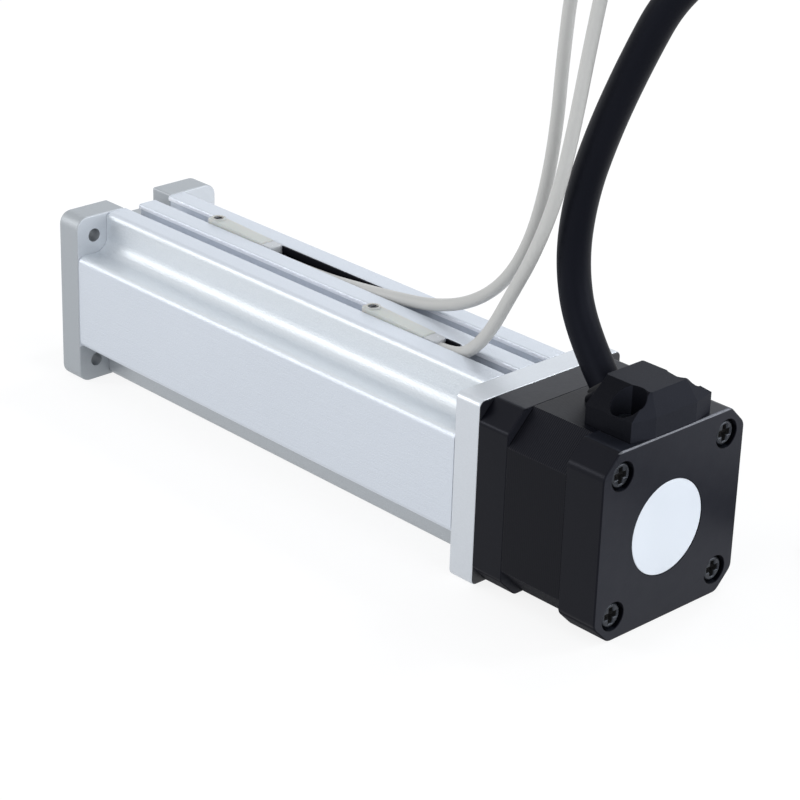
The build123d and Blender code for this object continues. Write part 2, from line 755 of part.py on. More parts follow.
ground = -half
cable_level = ground + cable_radius + 0.1
lead_level = ground + lead_radius + 0.1
outlet_point = Vector(outlet_x, 0, outlet_z)
outlet_way = Vector(cos(radians(lean)), 0, sin(radians(lean)))
cable_route = [
    outlet_point + outlet_way * 0.7,
    outlet_point + outlet_way * 13.3,
    (-145, 0, 46.5),
    (-146.4, 0, 61.5),
    (-151.5, 0, 76.5),
    (-157.9, -0.5, 91.5),
    (-164.9, -1.8, 106.4),
    (-175.4, -4.5, 116),
    (-188.5, -7.5, 120.6),
    (-202.4, -10.5, 119),
    (-214.6, -13.5, 111.4),
    (-223, -16, 100.4),
    (-227, -17.5, 86.8),
    (-228, -18.5, 71),
    (-228, -19, 54),
    (-227.8, -19.5, 37),
    (-227.4, -20, 21.5),
    (-226, -20.9, 8),
    (-221.8, -22.8, -4),
    (-214.4, -28, -12.9),
    (-205.4, -36, cable_level),
    (-195.3, -44.4, cable_level),
]
lead_depth = slot_floor + 1.5
lead_1_route = [
    (sensor_heads["sensor_1"][0] - sensor_length, slot_offset + 0.1, slot_floor + 2.5),
    (-118.6, 4.6, slot_floor + 2.6),
    (-123.7, 4.8, 22.5),
    (-128.6, 5.2, 28.2),
    (-134, 5.6, 37.6),
    (-140.6, 6.3, 48.8),
    (-146.6, 6.8, 63.2),
    (-150.2, 7.2, 78.5),
    (-153, 7.4, 94.4),
    (-156.2, 7.4, 111.3),
    (-161, 7.4, 128),
    (-169, 7.4, 144),
    (-182, 7.4, 156),
    (-199, 7.4, 159),
    (-215, 7.4, 152),
    (-225.5, 7, 138.5),
    (-232, 6, 121),
    (-235.5, 5, 101),
    (-237, 4, 80.5),
    (-237.5, 3, 58.5),
    (-237.5, 2, 36.5),
    (-237.5, 0, 14.5),
    (-237.5, -6, -7),
    (-237.5, -18, lead_level),
    (-237.5, -33, lead_level),
    (-232.5, -47, lead_level),
    (-222, -58, lead_level),
    (-208, -63.5, lead_level),
    (-194, -64.5, lead_level),
]
lead_2_route = [
    (sensor_heads["sensor_2"][0] - sensor_length, -slot_offset + 0.1, lead_depth),
    (-64.5, -4.4, lead_depth + 0.1),
    (-78, -4.4, 19.3),
    (-90, -4.45, 20.8),
    (-102.5, -4.5, 22.8),
    (-113.8, -4.6, 27.3),
    (-122.8, -4.6, 34.8),
    (-129, -4.6, 45.2),
    (-132.6, -4.6, 57.6),
    (-134.5, -4.8, 71.5),
    (-134.6, -5.4, 86.4),
    (-134.6, -7, 102.3),
    (-136.6, -11, 118),
    (-142.6, -17, 134),
    (-153.6, -24.5, 148),
    (-170, -32, 157),
    (-186, -38, 157),
    (-201, -42, 146.5),
    (-211, -44, 130),
    (-217, -45, 111),
    (-219.5, -45, 90.5),
    (-221, -44.5, 69.5),
    (-222.5, -43.5, 48),
    (-223.5, -42, 26.5),
    (-224, -39, 6),
    (-225, -30.5, -11.5),
    (-226, -17.5, lead_level),
    (-226.5, -3, lead_level),
]
motor_cable, cable_end = cord(cable_route, cable_radius)
save("motor_cable", motor_cable)
lead_1, lead_1_end = cord(lead_1_route, lead_radius)
save("sensor_1_lead", lead_1)
lead_2, lead_2_end = cord(lead_2_route, lead_radius)
save("sensor_2_lead", lead_2)


# Ends of the flexible tubes
def facing(point, direction):
    return Plane(origin=point, x_dir=Vector(0, 0, 1).cross(direction), z_dir=direction).location


plug_length = 18.0
plug_width = 13.0
plug_place = facing(cable_route[-1], cable_end) * Pos(0, 0, plug_length / 2)
plug = plug_place * Box(plug_width, 2 * cable_radius, plug_length)
plug = fillet(plug.edges(), 0.5)
save("motor_plug", plug)


def cores(route, direction):
    place = facing(route[-1], direction)
    pair = [place * Pos(side * 0.65, 0, 5) * Cylinder(0.5, 10) for side in (-1, 1)]
    return Compound(children=pair)


save("sensor_1_cores", cores(lead_1_route, lead_1_end))
save("sensor_2_cores", cores(lead_2_route, lead_2_end))
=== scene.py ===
from math import radians

import bmesh
import bpy
import numpy as np
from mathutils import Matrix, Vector
from mathutils.geometry import tessellate_polygon


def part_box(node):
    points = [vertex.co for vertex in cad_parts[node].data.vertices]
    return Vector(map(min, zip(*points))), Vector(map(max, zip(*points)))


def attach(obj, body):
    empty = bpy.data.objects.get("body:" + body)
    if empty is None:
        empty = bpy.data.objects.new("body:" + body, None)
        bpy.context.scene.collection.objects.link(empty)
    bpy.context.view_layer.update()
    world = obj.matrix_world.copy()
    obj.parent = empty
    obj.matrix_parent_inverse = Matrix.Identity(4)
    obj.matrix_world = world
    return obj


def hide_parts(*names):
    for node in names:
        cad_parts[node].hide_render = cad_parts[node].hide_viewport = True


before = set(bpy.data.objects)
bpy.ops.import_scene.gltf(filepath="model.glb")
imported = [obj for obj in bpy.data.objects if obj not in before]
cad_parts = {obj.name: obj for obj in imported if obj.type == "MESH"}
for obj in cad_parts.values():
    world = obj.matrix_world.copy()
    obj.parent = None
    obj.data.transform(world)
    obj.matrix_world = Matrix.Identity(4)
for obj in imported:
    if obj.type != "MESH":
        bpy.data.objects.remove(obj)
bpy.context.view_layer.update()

# The camera looks along the cylinder from behind the motor, from its left and a little
# above, through a long lens.
camera = bpy.data.objects.new("camera", bpy.data.cameras.new("camera"))
bpy.context.collection.objects.link(camera)
camera.location = (-0.4671, 0.3571, 0.2313)
camera.rotation_euler = (radians(65.679), radians(-1.774), radians(-133.312))
camera.data.sensor_width = 36
camera.data.lens = 115.01
camera.data.shift_x = -0.00786
camera.data.shift_y = 0.0048
camera.data.clip_start = 0.01
bpy.context.scene.camera = camera
bpy.context.scene.view_settings.view_transform = "Standard"


# The motor cable is a round PVC jacket, 7 mm thick, with a dull black skin. It rises out
# of its outlet on the motor in one springy arch and stands by its own stiffness.
class Reading:
    """One output of a finish's nodes. Arithmetic on it adds Math nodes to the finish."""

    def __init__(self, finish, socket):
        self.finish = finish
        self.socket = socket

    def maths(self, operation, *numbers):
        return self.finish.node("ShaderNodeMath", {"operation": operation}, dict(enumerate(numbers)))

    def __add__(self, other):
        return self.maths("ADD", self, other)

    def __rsub__(self, other):
        return self.maths("SUBTRACT", other, self)

    def __mul__(self, other):
        return self.maths("MULTIPLY", self, other)

    def __gt__(self, other):
        return self.maths("GREATER_THAN", self, other)

    def __lt__(self, other):
        return self.maths("LESS_THAN", self, other)

    def __abs__(self):
        return self.maths("ABSOLUTE", self)

    __radd__ = __add__
    __rmul__ = __mul__


class Finish:
    """The nodes round one shader of a material, or of the world, with its constant sockets."""

    def __init__(self, name, constants, library=bpy.data.materials, shader="Principled BSDF"):
        self.owner = library.new(name)
        self.owner.use_nodes = True
        self.shader = self.owner.node_tree.nodes[shader]
        self.show(constants)

    def feed(self, socket, value):
        """Links a reading to a socket, or sets the socket to a plain value."""
        if isinstance(value, Reading):
            self.owner.node_tree.links.new(value.socket, socket)
        else:
            socket.default_value = value

    def show(self, sockets):
        """Feeds the shader's sockets by name."""
        for name, value in sockets.items():
            self.feed(self.shader.inputs[name], value)

    def node(self, kind, settings, sockets, output=0):
        """Reading of a new node's output, its settings made first and its sockets fed then."""
        made = self.owner.node_tree.nodes.new(kind)
        for name, value in settings.items():
            setattr(made, name, value)
        for name, value in sockets.items():
            self.feed(made.inputs[name], value)
        return Reading(self, made.outputs[output])

    def place(self):
        """Place on the object, in metres."""
        return self.node("ShaderNodeTexCoord", {}, {}, "Object")

    def axis(self, name):
        """Place along one axis of the object, in metres."""
        return self.node("ShaderNodeSeparateXYZ", {}, {0: self.place()}, name)

    def facing(self, name):
        """How far the surface faces along an axis of the object, from -1 to 1."""
        normal = self.node("ShaderNodeTexCoord", {}, {}, "Normal")
        return self.node("ShaderNodeSeparateXYZ", {}, {0: normal}, name)

    def waves(self, name, length):
        """Sine along an axis, once up and down in each length, from 0 to 1."""
        turn = self.axis(name) * (2 * np.pi / length)
        return 0.5 + 0.5 * turn.maths("SINE", turn)

    def grain(self, per_metre, detail=2.0, stretch=(1, 1, 1)):
        """Noise with so many cells in a metre, longer along an axis whose stretch is under 1."""
        place = self.node("ShaderNodeMapping", {}, {"Vector": self.place(), "Scale": stretch})
        return self.node("ShaderNodeTexNoise", {}, {"Vector": place, "Scale": per_metre, "Detail": detail})

    def between(self, share, low, high):
        """Colour that goes from low to high as share goes from 0 to 1."""
        return self.node("ShaderNodeMix", {"data_type": "RGBA"}, {0: share, 6: low, 7: high}, 2)

    def relief(self, height, metres, edge=None):
        """Normal with that height of relief, over edges rounded to a radius where one is given."""
        sockets = {"Height": height, "Distance": metres, "Strength": 1.0}
        if edge:
            sockets["Normal"] = self.node("ShaderNodeBevel", {"samples": 4}, {"Radius": edge})
        return self.node("ShaderNodeBump", {}, sockets)

    def paint(self, *pieces):
        """Gives this finish to pieces, or to CAD nodes by name."""
        for piece in pieces:
            data = (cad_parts[piece] if isinstance(piece, str) else piece).data
            if not data.materials:
                data.materials.append(None)
            for slot in range(len(data.materials)):
                data.materials[slot] = self.owner


def flexible(name, route, diameter):
    """A NURBS curve of order 3 with a round section.

    The route's points, in millimetres, are its control points.
    """
    data = bpy.data.curves.new(name, "CURVE")
    data.dimensions = "3D"
    data.bevel_depth = diameter / 2
    data.bevel_resolution = 8
    data.resolution_u = 16
    data.use_fill_caps = True
    spline = data.splines.new("NURBS")
    spline.points.add(len(route) - 1)
    controls = np.ones((len(route), 4))
    controls[:, :3] = np.array(route) / 1000
    spline.points.foreach_set("co", controls.ravel())
    spline.order_u = 3
    spline.use_endpoint_u = True
    obj = bpy.data.objects.new(name, data)
    bpy.context.collection.objects.link(obj)
    return obj


cable_diameter = 0.007
cable_route = [
    (-157.1, 0, 23.336),
    (-149.001, 0, 32.988),
    (-145, 0, 46.5),
    (-146.4, 0, 61.5),
    (-151.5, 0, 76.5),
    (-157.9, -0.5, 91.5),
    (-164.9, -1.8, 106.4),
    (-175.4, -4.5, 116),
    (-188.5, -7.5, 120.6),
    (-202.4, -10.5, 119),
    (-214.6, -13.5, 111.4),
    (-223, -16, 100.4),
    (-227, -17.5, 86.8),
    (-228, -18.5, 71),
    (-228, -19, 54),
    (-227.8, -19.5, 37),
    (-227.4, -20, 21.5),
    (-226, -20.9, 8),
    (-221.8, -22.8, -4),
    (-214.4, -28, -12.9),
    (-205.4, -36, -17.4),
    (-195.3, -44.4, -17.4),
]
cable = flexible("cable_jacket", cable_route, cable_diameter)
jacket = Finish("dull black cable jacket", {"Specular IOR Level": 0.1, "Specular Tint": (0.75, 0.8, 1.0, 1)})
smear = jacket.grain(60, 2)
jacket.show(
    {
        "Base Color": jacket.between(smear, (0.0022, 0.0025, 0.0044, 1), (0.0048, 0.0053, 0.0088, 1)),
        "Roughness": 0.4 + 0.12 * smear,
        "Normal": jacket.relief(jacket.grain(900, 3), 0.00004),
    }
)
jacket.paint(cable)
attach(cable, "body")
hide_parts("motor_cable")

# The plug is a flat block of black nylon, moulded in two halves, that closes over the
# cable's end.
nylon = Finish("black nylon", {"Specular IOR Level": 0.45})
nylon.show(
    {
        "Base Color": nylon.between(nylon.grain(250), (0.010, 0.0105, 0.013, 1), (0.017, 0.0175, 0.021, 1)),
        "Roughness": 0.45 + 0.15 * nylon.grain(700),
        "Normal": nylon.relief(nylon.grain(4000, 3), 0.00003, edge=0.0004),
    }
)
nylon.paint("motor_plug")

# The bush is a rubber sleeve that grips the cable where it leaves the cover. The bumpers
# at both ends of the travel and the rod's wiper are moulded from the same rubber.
rubber = Finish("black rubber", {"Specular IOR Level": 0.3})
soot = rubber.grain(400)
rubber.show(
    {
        "Base Color": rubber.between(soot, (0.009, 0.0095, 0.011, 1), (0.016, 0.0165, 0.018, 1)),
        "Roughness": 0.6 + 0.15 * rubber.grain(900),
        "Normal": rubber.relief(rubber.grain(3000, 3), 0.00003, edge=0.0003),
    }
)
rubber.paint("cable_bush", "front_bumper", "rear_bumper", "rod_wiper")

# The two sensor leads are round grey PVC, 2.8 mm thick, smooth and a little waxy. Each
# rises from its slot, and its far end is stripped to two tinned cores.
lead_diameter = 0.0028
lead_1_route = [
    (-113.25, 4.6, 18.9),
    (-118.6, 4.6, 19),
    (-123.7, 4.8, 22.5),
    (-128.6, 5.2, 28.2),
    (-134, 5.6, 37.6),
    (-140.6, 6.3, 48.8),
    (-146.6, 6.8, 63.2),
    (-150.2, 7.2, 78.5),
    (-153, 7.4, 94.4),
    (-156.2, 7.4, 111.3),
    (-161, 7.4, 128),
    (-169, 7.4, 144),
    (-182, 7.4, 156),
    (-199, 7.4, 159),
    (-215, 7.4, 152),
    (-225.5, 7, 138.5),
    (-232, 6, 121),
    (-235.5, 5, 101),
    (-237, 4, 80.5),
    (-237.5, 3, 58.5),
    (-237.5, 2, 36.5),
    (-237.5, 0, 14.5),
    (-237.5, -6, -7),
    (-237.5, -18, -19.5),
    (-237.5, -33, -19.5),
    (-232.5, -47, -19.5),
    (-222, -58, -19.5),
    (-208, -63.5, -19.5),
    (-194, -64.5, -19.5),
]
lead_2_route = [
    (-49.65, -4.4, 17.9),
    (-64.5, -4.4, 18),
    (-78, -4.4, 19.3),
    (-90, -4.45, 20.8),
    (-102.5, -4.5, 22.8),
    (-113.8, -4.6, 27.3),
    (-122.8, -4.6, 34.8),
    (-129, -4.6, 45.2),
    (-132.6, -4.6, 57.6),
    (-134.5, -4.8, 71.5),
    (-134.6, -5.4, 86.4),
    (-134.6, -7, 102.3),
    (-136.6, -11, 118),
    (-142.6, -17, 134),
    (-153.6, -24.5, 148),
    (-170, -32, 157),
    (-186, -38, 157),
    (-201, -42, 146.5),
    (-211, -44, 130),
    (-217, -45, 111),
    (-219.5, -45, 90.5),
    (-221, -44.5, 69.5),
    (-222.5, -43.5, 48),
    (-223.5, -42, 26.5),
    (-224, -39, 6),
    (-225, -30.5, -11.5),
    (-226, -17.5, -19.5),
    (-226.5, -3, -19.5),
]
wax = Finish("light grey lead jacket", {"Specular IOR Level": 0.35})
haze = wax.grain(35, 3)
wax.show(
    {
        "Base Color": wax.between(haze, (0.50, 0.495, 0.475, 1), (0.60, 0.595, 0.575, 1)),
        "Roughness": 0.36 + 0.12 * haze,
        "Normal": wax.relief(wax.grain(1200), 0.00002),
    }
)
tin = Finish("tinned core", {"Metallic": 1.0})
strands = tin.grain(2500, 2, (1, 1, 0.2))
tin.show(
    {
        "Base Color": tin.between(strands, (0.42, 0.40, 0.37, 1), (0.72, 0.70, 0.66, 1)),
        "Roughness": 0.3 + 0.2 * strands,
        "Normal": tin.relief(strands, 0.00006),
    }
)
tin.paint("sensor_1_cores", "sensor_2_cores")
leads = (
    (1, lead_1_route, (-0.1133, 0.0046, 0.0189)),
    (2, lead_2_route, (-0.0497, -0.0044, 0.0179)),
)
for number, route, exit_point in leads:
    lead = flexible(f"lead_{number}", route, lead_diameter)
    wax.paint(lead)
    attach(lead, f"sensor_{number}")
    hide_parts(f"sensor_{number}_lead")


# The body is an aluminium extrusion: a cross with rounded arms, two T-slots for the
# sensors in its top, and a round bore with two keyways. It is sawn off, its ends are
# faced, and it is anodised in a satin silver.
class Skin:
    """Points and faces of one closed piece, gathered patch by patch."""

    def __init__(self):
        self.points = np.zeros((0, 3))
        self.faces = []

    def grid(self, points):
        """Four-sided faces between neighbouring rows of points, each row a closed ring."""
        rows, columns = points.shape[:2]
        index = len(self.points) + np.arange(rows * columns).reshape(rows, columns)
        index = np.hstack([index, index[:, :1]])
        corners = (index[:-1, :-1], index[:-1, 1:], index[1:, 1:], index[1:, :-1])
        self.faces += np.stack(corners, axis=-1).reshape(-1, 4).tolist()
        self.points = np.vstack([self.points, points.reshape(-1, 3)])

    def lathe(self, profile, y=0.0, z=0.0, steps=48):
        """Surface of a profile of (x, radius) spun round an axis along X.

        Radius 0 at either end closes it there. Gives back its first and last ring.
        """
        rings = np.stack([circle(x, radius, y, z, steps) for x, radius in profile if radius])
        self.grid(rings)
        if not profile[0][1]:
            self.cap(rings[0])
        if not profile[-1][1]:
            self.cap(rings[-1])
        return rings[0], rings[-1]

    def cap(self, *rings):
        """Flat face inside the first ring and outside the others."""
        start = len(self.points)
        triangles = tessellate_polygon([[Vector(point) for point in ring] for ring in rings])
        self.faces += [[start + corner for corner in triangle] for triangle in triangles]
        self.points = np.vstack([self.points, *rings])

    def piece(self, name, smooth_below=35):
        """Mesh with rims joined, faces outward, and edges smooth under that many degrees."""
        kept, joined = np.unique(self.points.round(7), axis=0, return_inverse=True)
        joined = joined.ravel()
        data = bpy.data.meshes.new(name)
        data.from_pydata(kept.tolist(), [], [joined[face].tolist() for face in self.faces])
        shell = bmesh.new()
        shell.from_mesh(data)
        bmesh.ops.recalc_face_normals(shell, faces=shell.faces)
        shell.to_mesh(data)
        shell.free()
        data.polygons.foreach_set("use_smooth", np.ones(len(data.polygons), bool))
        data.set_sharp_from_angle(angle=radians(smooth_below))
        obj = bpy.data.objects.new(name, data)
        bpy.context.collection.objects.link(obj)
        flat_faces_first = obj.modifiers.new("flat_faces_first", "WEIGHTED_NORMAL")
        flat_faces_first.keep_sharp = True
        flat_faces_first.weight = 100
        return obj


def rounded(corners, radii, steps=6):
    """Closed outline in the YZ plane, counter-clockwise, with an arc at each corner.

    An arc touches both edges of its corner, radius * tan(half the turn) away from it. Its
    normal turns evenly from one edge's normal to the other's.
    """
    corners = np.array(corners, float)
    radii = np.broadcast_to(radii, len(corners))[:, None]
    away = np.roll(corners, -1, axis=0) - corners
    away /= np.linalg.norm(away, axis=1, keepdims=True)
    towards = np.roll(away, 1, axis=0)
    cross = towards[:, 0] * away[:, 1] - towards[:, 1] * away[:, 0]
    turn = np.arctan2(cross, (towards * away).sum(axis=1))[:, None]
    first_normal = np.stack([towards[:, 1], -towards[:, 0]], axis=1)
    first_angle = np.arctan2(first_normal[:, 1:], first_normal[:, :1])
    angle = first_angle + turn * np.linspace(0, 1, steps)
    normals = np.stack([np.cos(angle), np.sin(angle)], axis=-1)
    signed = np.sign(turn) * radii
    centres = corners - towards * radii * np.tan(abs(turn) / 2) - first_normal * signed
    points = centres[:, None] + normals * signed[:, :, None]
    return points.reshape(-1, 2), normals.reshape(-1, 2)


def circle(x, radius, y=0.0, z=0.0, steps=48):
    """Ring of points at x, round an axis along X: radius times the cosine and the sine."""
    angle = np.linspace(0, 2 * np.pi, steps, endpoint=False)
    return np.stack([np.full(steps, x), y + radius * np.cos(angle), z + radius * np.sin(angle)], axis=1)


def machined(name, outline, back, front, edges, bores, tunnel=None):
    """Piece with one outline from back to front, its end edges rounded, and bores along X.

    At an end the outline moves in by edge * (1 - sin a) at a depth of edge * (1 - cos a),
    for a from 0 to 90 degrees. Edges holds the back edge and the front one. A bore is
    (y, z, profile): its profile of (x, radius) runs from the back face to the front face,
    and radius 0 closes it. A tunnel is an outline that goes straight through.
    """
    skin = Skin()
    angle = np.linspace(0, np.pi / 2, 5)
    inset = np.outer(edges, 1 - np.sin(angle))
    depth = np.outer(edges, 1 - np.cos(angle))
    inset = np.concatenate([inset[0], inset[1, ::-1]])
    along = np.concatenate([back + depth[0], front - depth[1, ::-1]])
    points, normals = outline
    moved = points - normals * inset[:, None, None]
    rows = np.concatenate([np.broadcast_to(along[:, None, None], moved.shape[:2] + (1,)), moved], axis=2)
    skin.grid(rows)
    back_rings = [rows[0]]
    front_rings = [rows[-1]]
    for y, z, profile in bores:
        first, last = skin.lathe(profile, y, z)
        if profile[0][1]:
            back_rings.append(first)
        if profile[-1][1]:
            front_rings.append(last)
    if tunnel is not None:
        ends = [np.insert(tunnel, 0, x, axis=1) for x in (back, front)]
        skin.grid(np.stack(ends))
        back_rings.append(ends[0])
        front_rings.append(ends[1])
    skin.cap(*back_rings)
    skin.cap(*front_rings)
    return skin.piece(name)


def four(y, z):
    """The four places at plus and minus y and z, counter-clockwise from the first."""
    return [(y, z), (-y, z), (-y, -z), (y, -z)]


(tube_back, _, _), (tube_front, tube_half, _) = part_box("body_tube")
joint_gap = 0.00015  # shadow line at the motor plate
tube_back_face = tube_back + joint_gap
tube_edge = 0.00015
arm_height = 0.0115  # half of the wide arm
arm_width = 0.0123  # half of the tall arm
land_edge = 0.0015
root = 0.0034
slot_middle = 0.0045
mouth = 0.0019  # half of a slot's opening
mouth_edge = 0.0005
cavity = 0.0025  # half of a slot's width under the lips
cavity_edge = 0.0002
lip = tube_half - 0.0012
slot_floor = tube_half - 0.0044
rim = 0.0004  # how far the painted light of a recess reaches over its edge
sill = 0.0002  # how far the painted light of a slot reaches below its floor, and how far below the wide arm the painted shade starts
slot_turns = [(mouth, tube_half), (mouth, lip), (cavity, lip), (cavity, slot_floor)]
slot_turns += [(-y, z) for y, z in slot_turns[::-1]]
slot_radii = [mouth_edge] + 6 * [cavity_edge] + [mouth_edge]
cross = [(tube_half, -arm_height), (tube_half, arm_height), (arm_width, arm_height), (arm_width, tube_half)]
for middle in (slot_middle, -slot_middle):
    cross += [(middle + y, z) for y, z in slot_turns]
cross += [(-arm_width, tube_half), (-arm_width, arm_height), (-tube_half, arm_height)]
cross += [(-tube_half, -arm_height), (-arm_width, -arm_height), (-arm_width, -tube_half)]
cross += [(arm_width, -tube_half), (arm_width, -arm_height)]
cross_radii = [land_edge, land_edge, root, land_edge] + 2 * slot_radii
cross_radii += 2 * [land_edge, root, land_edge] + [land_edge, root]
bore = 0.014  # a radius, like the sizes of all round features below
keyway = 0.016
keyway_half = 0.00205
meet = np.arcsin(keyway_half / bore)
sweep = np.linspace(meet, np.pi - meet, 40)
half_round = bore * np.stack([np.cos(sweep), np.sin(sweep)], axis=1)
key_end = np.array([(keyway, -keyway_half), (keyway, keyway_half)])
keyed_bore = np.vstack([key_end, half_round, -key_end, -half_round])
joint_y = 0.0162  # the M4 screws of both plates
joint_z = 0.0077
joint_depth = 0.011
m4_thread = 0.002
thread_back = tube_back + joint_depth
thread_front = tube_front - joint_depth
back_thread = [(tube_back_face, m4_thread), (thread_back, m4_thread), (thread_back, 0)]
front_thread = [(thread_front, 0), (thread_front, m4_thread), (tube_front, m4_thread)]
threads = [(y, z, thread) for thread in (back_thread, front_thread) for y, z in four(joint_y, joint_z)]
tube = machined(
    "tube_extrusion",
    rounded(cross, cross_radii),
    tube_back_face,
    tube_front,
    (tube_edge, tube_edge),
    threads,
    keyed_bore,
)
silver = Finish("satin anodised aluminium", {"Metallic": 0.6, "Specular IOR Level": 0.5})
die_lines = silver.grain(2200, 2, (0.012, 1, 1))
speckle = silver.grain(2800, 3)
cloud = silver.grain(18, 2)
tint = 0.55 * speckle + 0.45 * cloud
across = abs(silver.axis("Y"))
height = silver.axis("Z")
recessed = (across > arm_width - rim) * (height > arm_height - rim)
# Painted light: the inside of each slot gets a much lighter colour than the faces round it.
in_slot = (across > slot_middle - cavity) * (across < slot_middle + cavity)
in_slot = in_slot * (height > slot_floor - sill) * (height < tube_half - rim)
# Painted shade: everything below the wide arm gets a darker colour, as if in its shade.
below = height < -arm_height - sill
# Painted light: the corner recesses above the wide arm get a lighter colour than the outer faces.
outer_anodising = silver.between(tint, (0.56, 0.60, 0.66, 1), (0.65, 0.69, 0.75, 1))
recess_painted_light = silver.between(speckle, (0.62, 0.66, 0.70, 1), (0.71, 0.745, 0.78, 1))
anodised = silver.between(in_slot, silver.between(recessed, outer_anodising, recess_painted_light), (0.86, 0.88, 0.93, 1))
silver.show(
    {
        "Base Color": silver.between(below, anodised, (0.42, 0.445, 0.47, 1)),
        "Roughness": 0.38 + 0.06 * die_lines + 0.1 * speckle,
        "Normal": silver.relief(speckle + 0.4 * die_lines, 0.0001),
    }
)
silver.paint(tube)
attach(tube, "body")
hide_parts("body_tube")

# The front flange is sawn from aluminium plate and machined all over, with a long spigot
# that centres it in the tube, then blasted, so it is duller and darker than the tube.
# Four M4 screws in counterbores hold it.
(spigot_end, _, _), (flange_front, flange_side, _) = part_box("front_flange")
flange_back = tube_front
flange_corner = 0.003
notch = 0.007  # half of the opening above the sensor slots
notch_floor = 0.0166
notch_edge = 0.0005
flange_edges = (0.0003, 0.0006)
mount = 0.016  # the four mounting holes
m4_core = 0.00165
m4_clear = 0.0022
m4_head = 0.0037
m4_sink = 0.0042
spigot = 0.01395
spigot_lead_in = 0.0004
bush_seat = 0.01
wiper_seat = 0.011
wiper_back = flange_front - 0.004
head_seat = flange_front - m4_sink
outline = rounded(
    [
        (flange_side, -flange_side),
        (flange_side, flange_side),
        (notch, flange_side),
        (notch, notch_floor),
        (-notch, notch_floor),
        (-notch, flange_side),
        (-flange_side, flange_side),
        (-flange_side, -flange_side),
    ],
    2 * [flange_corner] + 4 * [notch_edge] + 2 * [flange_corner],
    steps=8,
)
mounting_hole = [(flange_back, m4_core), (flange_front, m4_core)]
screw_hole = [(flange_back, m4_clear), (head_seat, m4_clear), (head_seat, m4_head), (flange_front, m4_head)]
rod_bore = [
    (flange_back, spigot),
    (spigot_end + spigot_lead_in, spigot),
    (spigot_end, spigot - spigot_lead_in),
    (spigot_end, bush_seat),
    (wiper_back, bush_seat),
    (wiper_back, wiper_seat),
    (flange_front, wiper_seat),
]
bores = [(y, z, mounting_hole) for y, z in four(mount, mount)]
bores += [(y, z, screw_hole) for y, z in four(joint_y, joint_z)]
bores += [(0, 0, rod_bore)]
flange = machined("flange_plate", outline, flange_back, flange_front, flange_edges, bores)
blasted = Finish("blasted aluminium", {"Metallic": 0.6})
grit = blasted.grain(5200, 3)
sawn = blasted.between(grit, (0.34, 0.365, 0.39, 1), (0.42, 0.445, 0.47, 1))
back_painted_light = blasted.between(grit, (0.54, 0.57, 0.61, 1), (0.62, 0.65, 0.69, 1))
# Painted light: the flange's back face, above the underside of the wide arm, gets a lighter colour than its
# other faces.
back_face_painted_light = (blasted.facing("X") < -0.9) * (1 - (blasted.axis("Z") < -arm_height))
blasted.show(
    {
        "Base Color": blasted.between(back_face_painted_light, sawn, back_painted_light),
        "Roughness": 0.46 + 0.1 * grit,
        "Normal": blasted.relief(grit, 0.00004),
    }
)
blasted.paint(flange)
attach(flange, "body")
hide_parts("front_flange")

# The plate between tube and motor is milled from aluminium and anodised to match the
# tube. Its face towards the motor is painted black as painted shade. A sleeve on its
# front reaches into the tube and holds the bearing housing.
(motor_face, _, _), (sleeve_end, motor_side, _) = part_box("motor_flange")
adapter_corner = 0.0015
adapter_edges = (0.0004, 0.0004)
motor_screw = 0.0155  # half of the motor's screw square
m3_clear = 0.0017
m3_head = 0.00295
fixing_seat = tube_back - 0.0032
head_seat = motor_face + m4_sink
pilot = 0.01105
pilot_depth = 0.002
coupling_room = 0.0095
painted_shade_depth = 0.0001  # the painted shade reaches this far round its edge
fixing_hole = [(motor_face, m3_clear), (fixing_seat, m3_clear), (fixing_seat, m3_head), (tube_back, m3_head)]
screw_hole = [(motor_face, m4_head), (head_seat, m4_head), (head_seat, m4_clear), (tube_back, m4_clear)]
coupling_bore = [
    (motor_face, pilot),
    (motor_face + pilot_depth, pilot),
    (motor_face + pilot_depth, coupling_room),
    (sleeve_end, coupling_room),
    (sleeve_end, spigot - spigot_lead_in),
    (sleeve_end - spigot_lead_in, spigot),
    (tube_back, spigot),
]
bores = [(y, z, fixing_hole) for y, z in four(motor_screw, motor_screw)]
bores += [(y, z, screw_hole) for y, z in four(joint_y, joint_z)]
bores += [(0, 0, coupling_bore)]
outline = rounded(four(motor_side, motor_side), adapter_corner, steps=8)
adapter = machined("adapter_plate", outline, motor_face, tube_back, adapter_edges, bores)
milled = Finish("milled anodised aluminium", {})
cutter = milled.grain(2600, 2, (1, 0.05, 1))
milled_grain = milled.grain(4500, 3)
bare = milled.between(milled_grain, (0.55, 0.58, 0.62, 1), (0.64, 0.67, 0.71, 1))
# Painted shade: the face towards the motor is coloured black.
motor_side_painted_shade = milled.axis("X") < motor_face + painted_shade_depth
milled.show(
    {
        "Base Color": milled.between(motor_side_painted_shade, bare, (0.012, 0.013, 0.018, 1)),
        "Metallic": 0.6 * (1 - motor_side_painted_shade),
        "Roughness": 0.34 + 0.08 * cutter,
        "Normal": milled.relief(cutter + milled_grain, 0.00002, edge=0.0002),
    }
)
milled.paint(adapter, "bearing_housing", "nut_carrier", "shaft_coupling")
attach(adapter, "body")
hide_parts("motor_flange")

